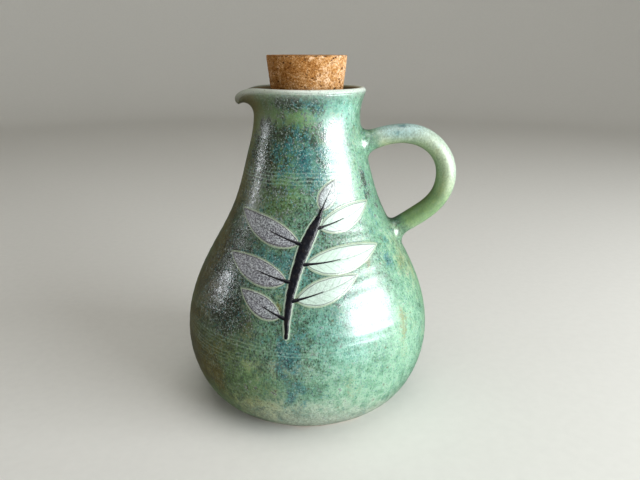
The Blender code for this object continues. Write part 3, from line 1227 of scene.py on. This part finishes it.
    def build(self) -> Skin:
        """Joins the two fillets by the strap, and finds the glaze's tones along it."""
        length = self.chord[-1]
        neck = self.footprint(0.0, 0.010)
        shoulder = self.footprint(length, length - 0.016)
        arm, reach = (np.full(self.sides, part) for part in self.neck_arms)
        first, first_pole = self.fillet(neck, arm, reach, 1)
        outer = (1 + np.cos(self.turn)) / 2
        inner_arms = np.array(self.shoulder_arms_inner)[:, None]
        outer_arms = np.array(self.shoulder_arms_outer)[:, None]
        arms = inner_arms + (outer_arms - inner_arms) * outer
        last, last_pole = self.fillet(shoulder, arms[0], arms[1], -1)
        share = np.linspace(0, 1, self.rows)[:, None]
        strap = self.skin_point((neck + arm) * (1 - share) + (shoulder - arms[0]) * share)
        points = np.concatenate([first[::-1], strap, last])
        values = glaze_values(self.form, points)
        outside = self.form.outside_of(points)
        values[THROWN] *= 1 - smooth_step(outside, 0.0002, 0.0022)
        free = smooth_step(outside, 0.001, 0.009)
        for tone, amount in self.own_tones(points).items():
            blended = values[tone.value] * (1 - free) + amount * free
            values[tone.value] = np.clip(blended, 0, 1)
        return Skin(points, first_pole, last_pole, values)

    def dress(self, glaze: bpy.types.Material) -> None:
        """Makes the piece, which stands for the jug's solid together with the body."""
        piece = make_piece("jug_handle", [self.build()], glaze)
        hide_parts("jug")


@dataclass(frozen=True)
class Stroke:
    """A low shape laid on the wall along a line: a leaf, a stem or a stalk.

    Lengths are in millimetres on the wall, x across and y up it from the sprig's root.
    """

    line: Array
    half_width: Array
    rise: float
    base: float
    apron: float = 0.75
    # How pale a leaf is made by a painted highlight.
    pale: float = 0.0

    def grid(self, rows: int, across: int, under: int = 5) -> tuple[Array, ...]:
        """The stroke's flat grid: columns cross its top from side to side and come back below.

        Along the line the places run an apron's width past both ends. The half width there
        is that of a circle round the end, and elsewhere the shape's own plus the apron.

        Args:
            rows: rings along the line.
            across: columns on the top.
            under: columns below.

        Returns:
            x, y, the distance in from the shape's edge, the distance off the line, the
            distance along it, and 1 on the top or 0 below, each rows x columns.
        """
        chord = chords(self.line)
        length = chord[-1]
        even = np.linspace(0, 1, rows + 2)[1:-1]
        eased = 0.65 * even + 0.35 * (1 - np.cos(math.pi * even)) / 2
        along = -self.apron + (length + 2 * self.apron) * eased
        held = np.clip(along, 0, length)
        ahead = natural_spline(chord, self.line, np.clip(held + 0.05, 0, length))
        ahead -= natural_spline(chord, self.line, np.clip(held - 0.05, 0, length))
        ahead /= np.linalg.norm(ahead, axis=1, keepdims=True)
        middle = natural_spline(chord, self.line, held) + ahead * (along - held)[:, None]
        shares = np.linspace(0, 1, len(self.half_width))
        width = np.interp(held / length, shares, self.half_width)
        past = np.abs(along - held)
        circle = np.sqrt(np.maximum(self.apron**2 - past**2, 0))
        whole = np.where(past > 0, circle, width + self.apron)
        back = np.linspace(1, -1, under + 2)[1:-1]
        side = np.concatenate([np.linspace(-1, 1, across), back])
        top = np.concatenate([np.ones(across), np.zeros(under)])
        off = np.outer(whole, side)
        x = middle[:, :1] - ahead[:, 1:] * off
        y = middle[:, 1:] + ahead[:, :1] * off
        past = past[:, None]
        inward = np.where(past > 0, -np.hypot(past, off), width[:, None] - np.abs(off))
        along = np.repeat(along[:, None], len(side), axis=1)
        return x, y, inward, off, along, np.broadcast_to(top, off.shape)


@dataclass
class Sprig:
    """A leafy sprig in slip: a black raised stem with alternate incised leaves.

    The stem is given by its stations and half widths, and a leaf by its share of the stem,
    direction in degrees, length, half width, curl and the paleness of its painted highlight,
    all lengths in millimetres.
    """

    form: ThrownForm
    azimuth_degrees: float = 3.0
    root_height: float = 0.0440
    stem: tuple[tuple[float, float], ...] = (
        (-6.0, 0), (-5.3, 11), (-3.0, 22), (0.6, 33), (5.0, 42.5),
    )
    stem_widths: tuple[float, ...] = (0.55, 0.95, 1.25, 1.45, 1.6, 1.85, 2.1, 1.9, 1.2)
    # The last column is the paleness of a painted highlight: the leaves turned to the lit right are
    # pale.
    leaves: tuple[tuple[float, ...], ...] = (
        (0.15, 160, 17.0, 3.8, -1.6, 0.10),
        (0.29, 14, 23.0, 4.4, 1.8, 0.80),
        (0.44, 170, 25.0, 4.6, -2.2, 0.00),
        (0.59, 2, 29.0, 4.9, 2.6, 0.95),
        (0.75, 163, 26.5, 4.5, -2.0, 0.05),
        (0.89, 14, 22.0, 4.2, 1.6, 0.85),
        (1.00, 70, 11.5, 3.1, -1.0, 0.35),
    )
    stalk_length: float = 2.6
    stalk_widths: tuple[float, ...] = (0.62, 0.50, 0.34, 0.22, 0.10)
    stalk_apron: float = 0.12
    vein_gap: float = 2.9
    groove: float = 0.13
    sunk: float = -0.35
    seed: int = 7

    def stem_place(self, share: float) -> Array:
        """A flat place on the stem's line."""
        line = np.array(self.stem, float)
        chord = chords(line)
        return natural_spline(chord, line, np.array(share * chord[-1]))

    def curved_line(self, start: Array, degrees: float, length: float, curl: float) -> Array:
        """Nine stations that leave the start at an angle and curl aside by the square."""
        way = np.array([math.cos(math.radians(degrees)), math.sin(math.radians(degrees))])
        t = np.linspace(0, 1, 9)[:, None]
        return start + way * length * t + np.array([-way[1], way[0]]) * curl * t**2

    def leaf_strokes(self) -> tuple[list[Stroke], list[Stroke]]:
        """The leaves and their stalks. A leaf's half width is a sine to the power 0.8."""
        outline = np.sin(math.pi * np.linspace(0, 1, 60) ** 0.82) ** 0.80
        widths = np.array(self.stalk_widths)
        leaves, stalks = [], []
        for share, degrees, length, width, curl, pale in self.leaves:
            start = self.stem_place(share)
            stalk_length = self.stalk_length + 0.42 * length
            stalk = self.curved_line(start, degrees, stalk_length, 0.30 * curl)
            ahead = (stalk[1] - stalk[0]) / np.linalg.norm(stalk[1] - stalk[0])
            leaf_start = start + ahead * self.stalk_length
            line = self.curved_line(leaf_start, degrees, length, curl)
            leaves.append(Stroke(line, width * outline, 0.17, 0.03, pale=pale))
            stalks.append(Stroke(stalk, widths, 0.34, 0.16, apron=self.stalk_apron))
        return leaves, stalks

    def skin(self, x: Array, y: Array, lift_mm: Array, values: dict[str, Array]) -> Skin:
        """Lays a flat grid on the wall and closes its rings with a pole at each end.

        Args:
            x: distance across, from the sprig's root.
            y: distance up the profile, from the root.
            lift_mm: height above the wall.
            values: the stroke's own values on the grid.

        Returns:
            The closed skin, with the glaze's tones as well.
        """
        dense, along = self.form.profile(0.02, 0.11, 1500)
        root = np.interp(self.root_height, dense, along)
        height = np.interp(root + y * MM, along, dense)
        azimuth = math.radians(self.azimuth_degrees) + x * MM / self.form.outer_radius(height)
        points = self.form.on_wall(azimuth, height, lift_mm * MM)
        values |= glaze_values(self.form, points)
        return Skin(points, points[0].mean(axis=0), points[-1].mean(axis=0), values)

    def leaf_skin(self, leaf: Stroke) -> Skin:
        """A leaf: a low pillow, with grooves cut for its outline, its rib and its side veins.

        Each groove is a Gaussian of the distance from its line, and the same Gaussians
        hold the dark line that the glaze left in it.
        """
        x, y, inward, off, along, top = leaf.grid(132, 64)
        width = np.maximum(inward + np.abs(off), 0.01)
        uneven = 0.10 * soft_noise(np.stack([x, y, x * 0], axis=-1), 2.3, self.seed)
        outline = bell(inward - 0.50 + uneven, 0, 0.15)
        rib = bell(off, 0, self.groove) * smooth_step(inward, 0.35, 0.9)
        slant = (along - 1.15 * np.abs(off) + uneven) / self.vein_gap
        vein = bell((slant - np.round(slant)) * self.vein_gap, 0, self.groove)
        vein = vein * smooth_step(inward, 0.7, 1.3)
        crown = 0.45 * np.clip(1 - (off / width) ** 2, 0, 1)
        pillow = np.where(inward > -0.12, smooth_step(inward, -0.12, 0.55) + crown, 0)
        cut = 0.10 * outline + 0.07 * rib + 0.045 * vein
        lift = np.where(top > 0, leaf.base + leaf.rise * pillow - cut, self.sunk)
        values = {
            "shape": smooth_step(inward, 0.02, 0.22),
            "halo": smooth_step(inward, -leaf.apron, -0.05),
            "ink": np.clip(0.95 * outline + 0.60 * rib + 0.42 * vein, 0, 1),
            "pale": np.full(x.shape, leaf.pale),
        }
        return self.skin(x, y, lift, values)

    def slip_skin(self, stroke: Stroke, rows: int, across: int) -> Skin:
        """A brushed line of thick slip: a half-round ridge with an uneven crest."""
        x, y, inward, off, _, top = stroke.grid(rows, across)
        width = np.maximum(inward + np.abs(off), 0.05)
        flat = np.stack([x, y, x * 0], axis=-1)
        broad = stroke.apron > self.stalk_apron
        inward = inward + 0.10 * soft_noise(flat, 1.1, self.seed + 3) * broad
        ridge = np.sqrt(np.clip(1 - (1 - np.clip(inward / width, 0, 1)) ** 2, 0, 1))
        uneven = 1 + 0.16 * soft_noise(flat, 2.1, self.seed + 1)
        uneven += 0.08 * soft_noise(flat, 0.8, self.seed + 2)
        lift = np.where(top > 0, stroke.base + stroke.rise * ridge * uneven, self.sunk)
        edge = (-0.05, 0.06) if broad else (-0.3, -0.2)
        halo = smooth_step(inward, -stroke.apron, -0.25 * stroke.apron)
        values = {"shape": smooth_step(inward, *edge), "halo": halo}
        return self.skin(x, y, lift, values)

    def dress(self, leaf_glaze: bpy.types.Material, slip: bpy.types.Material) -> None:
        """Makes the two pieces: the leaves, and the stem with the stalks."""
        leaves, stalks = self.leaf_strokes()
        stem = Stroke(np.array(self.stem, float), np.array(self.stem_widths), 0.62, 0.05)
        blades = [self.leaf_skin(leaf) for leaf in leaves]
        brushed = [self.slip_skin(stalk, 60, 15) for stalk in stalks]
        brushed.append(self.slip_skin(stem, 300, 40))
        pieces = ("sprig_leaves", blades, leaf_glaze), ("sprig_stem", brushed, slip)
        for name, skins, finish in pieces:
            piece = make_piece(name, skins, finish)


@dataclass
class CorkStopper:
    """The tapered stopper of pressed cork, pitted, with crumbled edges."""

    bottom: float
    top: float
    top_radius: float
    bottom_radius: float = 0.0121
    columns: int = 400
    cap_rows: int = 62
    side_rows: int = 92
    hidden_rows: int = 14
    fine_depth: float = 0.013
    edge_radius: float = 0.0006
    edge_rows: int = 5
    grain: float = 0.0017
    pits: int = 260
    side_share: float = 0.62
    chips: int = 64
    skin_depth: float = 0.00005
    seed: int = 12

    def side_radius(self, height: Array) -> Array:
        """The taper: the radius grows evenly from the bottom to the top."""
        share = (height - self.bottom) / (self.top - self.bottom)
        return self.bottom_radius + share * (self.top_radius - self.bottom_radius)

    def section(self) -> tuple[Array, Array, Array]:
        """Radius, height and tilt of the outward normal (0 up, a quarter turn outwards)."""
        quarter = math.pi / 2
        inset = self.top_radius - self.edge_radius
        cap = np.linspace(0, 1, self.cap_rows + 1)[1:] * inset
        turn = np.linspace(0, quarter, self.edge_rows + 2)[1:-1]
        edge = inset + self.edge_radius * np.sin(turn)
        edge_height = self.top - self.edge_radius * (1 - np.cos(turn))
        fine = self.top - self.fine_depth
        seen = np.linspace(self.top - self.edge_radius, fine, self.side_rows)
        hidden = np.linspace(fine, self.bottom + self.edge_radius, self.hidden_rows)[1:]
        side = np.concatenate([seen, hidden])
        inner = self.bottom_radius - self.edge_radius
        under = np.linspace(1, 0, self.hidden_rows)[:-1] * inner
        radius = np.concatenate([cap, edge, self.side_radius(side), under])
        flat, foot = np.full(len(cap), self.top), np.full(len(under), self.bottom)
        height = np.concatenate([flat, edge_height, side, foot])
        tilts = [0 * cap, turn, np.full(len(side), quarter), np.full(len(under), 2 * quarter)]
        return radius, height, np.concatenate(tilts)

    def hollows(self, points: Array) -> Array:
        """Depth of the pits and chips: each is a bowl round its own centre on the surface.

        Side pits are spread over the taper, cap pits over the top, and chips along the rim.
        """
        pick = np.random.default_rng(self.seed)
        side = int(self.pits * self.side_share)
        turn = pick.uniform(0, TURN, self.pits + self.chips)
        height = np.full(self.pits + self.chips, self.top)
        height[:side] = pick.uniform(self.top - self.fine_depth, self.top, side)
        radius = self.side_radius(height)
        radius[side : self.pits] *= np.sqrt(pick.uniform(0, 1, self.pits - side))
        centres = np.stack([radius * np.sin(turn), -radius * np.cos(turn), height], axis=-1)
        size = pick.uniform(0.00016, 0.00034, len(centres))
        size *= 1 + pick.exponential(0.40, len(centres))
        size[self.pits :] = pick.uniform(0.0004, 0.0010, self.chips)
        depth = 0.55 * size
        depth[self.pits :] = 0.38 * size[self.pits :]
        flat = shaken(points, 0.00022, 0.0007, 61).reshape(-1, 3)
        total = np.zeros(len(flat))
        for centre, reach, deep in zip(centres, size, depth):
            away = np.linalg.norm((flat - centre) * (0.75, 0.75, 1.25), axis=1)
            bowl = 1 - smooth_step(away, 0.35 * reach, 1.1 * reach)
            total = np.maximum(total, deep * bowl)
        return total.reshape(points.shape[:-1])

    def build(self) -> Skin:
        """Turns the section, then sinks it by grain heights, seams, pits and chips."""
        radius, height, tilt = (part[:, None, None] for part in self.section())
        azimuth = np.linspace(-math.pi, math.pi, self.columns, endpoint=False)
        outward = np.stack([np.sin(azimuth), -np.cos(azimuth), 0 * azimuth], axis=-1)
        upright = np.array([0.0, 0.0, 1.0])
        points = radius * outward + height * upright
        normal = np.sin(tilt) * outward + np.cos(tilt) * upright
        owner, gap = grain_cells(shaken(points, 0.0004, 0.0012, 71), self.grain, 90)
        seam = 1 - smooth_step(gap, 0.02, 0.20)
        hollow = self.hollows(points)
        fine = self.skin_depth * soft_noise(points, 0.00055, 81)
        sunk = self.skin_depth * owner + self.skin_depth * seam + hollow + self.skin_depth + fine
        values = {"grain": owner, "seam": seam, "pit": smooth_step(hollow, 0.00006, 0.00030)}
        ends = self.top - 0.0001, self.bottom + 0.0001
        poles = (np.array([0, 0, end]) for end in ends)
        return Skin(points - normal * sunk[..., None], *poles, values)

    def dress(self, finish: bpy.types.Material) -> None:
        """Makes the piece that stands for the cork's solid."""
        piece = make_piece("cork_stopper", [self.build()], finish)
        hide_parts("cork")


# Studio


def turned_frame(right: Array, up: Array, back: Array, place: Array) -> Matrix:
    """The matrix of an object with these axes, at this place."""
    frame_axes = np.eye(4)
    frame_axes[:3] = np.stack([right, up, back, place], axis=-1)
    return Matrix(frame_axes.tolist())


@dataclass(frozen=True)
class Softbox:
    """A rectangular light that faces the jug."""

    name: str
    azimuth_degrees: float
    elevation_degrees: float
    width: float
    height: float
    power: float
    colour: Colour = (1.0, 1.0, 1.0)
    distance: float = 0.70
    aim_height: float = 0.065

    def place(self) -> None:
        """Puts the light at its azimuth and elevation, turned towards the jug's middle."""
        turn, rise = math.radians(self.azimuth_degrees), math.radians(self.elevation_degrees)
        level = math.cos(rise)
        way = np.array([math.sin(turn) * level, -math.cos(turn) * level, math.sin(rise)])
        right = np.array([math.cos(turn), math.sin(turn), 0.0])
        light = bpy.data.lights.new(self.name, "AREA")
        light.shape = "RECTANGLE"
        light.size, light.size_y = self.width, self.height
        light.energy = self.power
        light.color = self.colour
        lamp = bpy.data.objects.new(self.name, light)
        spot = way * self.distance + np.array([0, 0, self.aim_height])
        lamp.matrix_world = turned_frame(right, np.cross(way, right), way, spot)
        lamp.visible_camera = False
        bpy.context.scene.collection.objects.link(lamp)


@dataclass
class Studio:
    """A pale floor that curves up all round, window-like softboxes, and the camera."""

    floor_radius: float = 1.0
    curve_radius: float = 0.5
    wall_top: float = 1.4
    columns: int = 128
    floor_colour: Colour = (0.80, 0.79, 0.76)
    floor_shade: float = 0.97
    ambient: Colour = (1.0, 0.90, 0.70)
    ambient_strength: float = 0.08
    softboxes: tuple[Softbox, ...] = (
        Softbox("right_window", 65, 11, 0.58, 0.32, 7.8, (0.95, 0.99, 1.0)),
        Softbox("left_window", -91, 10, 0.055, 0.14, 0.31, (0.92, 0.96, 1.0)),
        Softbox("overhead", 20, 78, 0.9, 0.9, 5.0, (1.0, 0.99, 0.95), 1.1),
    )
    sensor: float = 36.0
    lens: float = 580 / 640 * 36
    camera_place: tuple[float, float, float] = (0.01906, -0.22343, 0.13792)
    camera_right: tuple[float, float, float] = (0.99799, 0.06331, 0.00184)
    camera_up: tuple[float, float, float] = (-0.02145, 0.31043, 0.95035)
    camera_back: tuple[float, float, float] = (0.05959, -0.94848, 0.31117)

    def paper(self) -> bpy.types.Material:
        """Dull pale paper with a faint grain."""
        material, nodes, shader = start_material("studio_paper")
        grain = nodes.smooth(nodes.noise(nodes.object_place(), 0.004, 3.0), 0.2, 0.8)
        shade = tuple(self.floor_shade * part for part in self.floor_colour)
        tone = nodes.mix(grain, self.floor_colour, shade)
        nodes.feed(shader, {"Base Color": tone, "Roughness": 0.9, "Specular IOR Level": 0.1})
        return material

    def backdrop(self) -> None:
        """A bowl turned round the axis: a flat floor, a quarter circle and a wall."""
        turn = np.linspace(0, math.pi / 2, 24)
        flat = np.linspace(0.05, self.floor_radius, 12)
        curve = self.floor_radius + self.curve_radius * np.sin(turn[1:])
        rise = self.curve_radius * (1 - np.cos(turn[1:]))
        radius = np.concatenate([flat, curve, curve[-1:]])
        height = np.concatenate([0 * flat, rise, [self.wall_top]])
        azimuth = np.linspace(0, TURN, self.columns, endpoint=False)
        x, y = np.outer(radius, np.sin(azimuth)), -np.outer(radius, np.cos(azimuth))
        rings = np.stack([x, y, np.outer(height, np.ones(self.columns))], axis=-1)
        index = np.arange(x.size).reshape(x.shape)
        after = np.roll(index, -1, axis=1)
        quads = np.stack([index[:-1], index[1:], after[1:], after[:-1]], axis=-1).reshape(-1, 4)
        mesh = bpy.data.meshes.new("studio_floor")
        mesh.from_pydata(rings.reshape(-1, 3).tolist(), [], [*quads.tolist(), index[0].tolist()])
        mesh.shade_smooth()
        mesh.materials.append(self.paper())
        floor = bpy.data.objects.new("studio_floor", mesh)
        bpy.context.scene.collection.objects.link(floor)
        floor.visible_glossy = False

    def sky(self) -> None:
        """An even soft light from all round."""
        world = bpy.data.worlds.new("soft_sky")
        world.use_nodes = True
        light = {"Color": opaque(self.ambient), "Strength": self.ambient_strength}
        Nodes(world.node_tree).feed(world.node_tree.nodes["Background"], light)
        bpy.context.scene.world = world

    def camera(self) -> None:
        """The camera, at the photograph's place and angle."""
        camera = bpy.data.cameras.new("camera")
        camera.lens = self.lens
        camera.sensor_width = self.sensor
        camera.clip_start = 0.001
        held = bpy.data.objects.new("camera", camera)
        held.matrix_world = turned_frame(
            self.camera_right, self.camera_up, self.camera_back, self.camera_place
        )
        bpy.context.scene.collection.objects.link(held)
        bpy.context.scene.camera = held

    def build(self) -> None:
        """Sets up the whole studio."""
        bpy.context.scene.view_settings.view_transform = "Standard"
        self.backdrop()
        self.sky()
        for softbox in self.softboxes:
            softbox.place()
        self.camera()
        log.info("studio: %d softboxes", len(self.softboxes))


def main() -> None:
    """Builds each piece in order, then the studio."""
    logging.basicConfig(level=logging.INFO, format="%(name)s: %(message)s")
    jug_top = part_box("jug")[1].z
    cork_low, cork_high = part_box("cork")
    form = ThrownForm(rim_height=jug_top)
    effects = SharedEffects()
    glaze = JugGlaze().make(effects)
    JugBody(form).dress(glaze)
    PulledHandle(form).dress(glaze)
    Sprig(form).dress(LeafGlaze().make(effects), BlackSlip().make(effects))
    CorkStopper(cork_low.z, cork_high.z, cork_high.x).dress(PressedCork().make(effects))
    Studio().build()


if __name__ == "__main__":
    main()
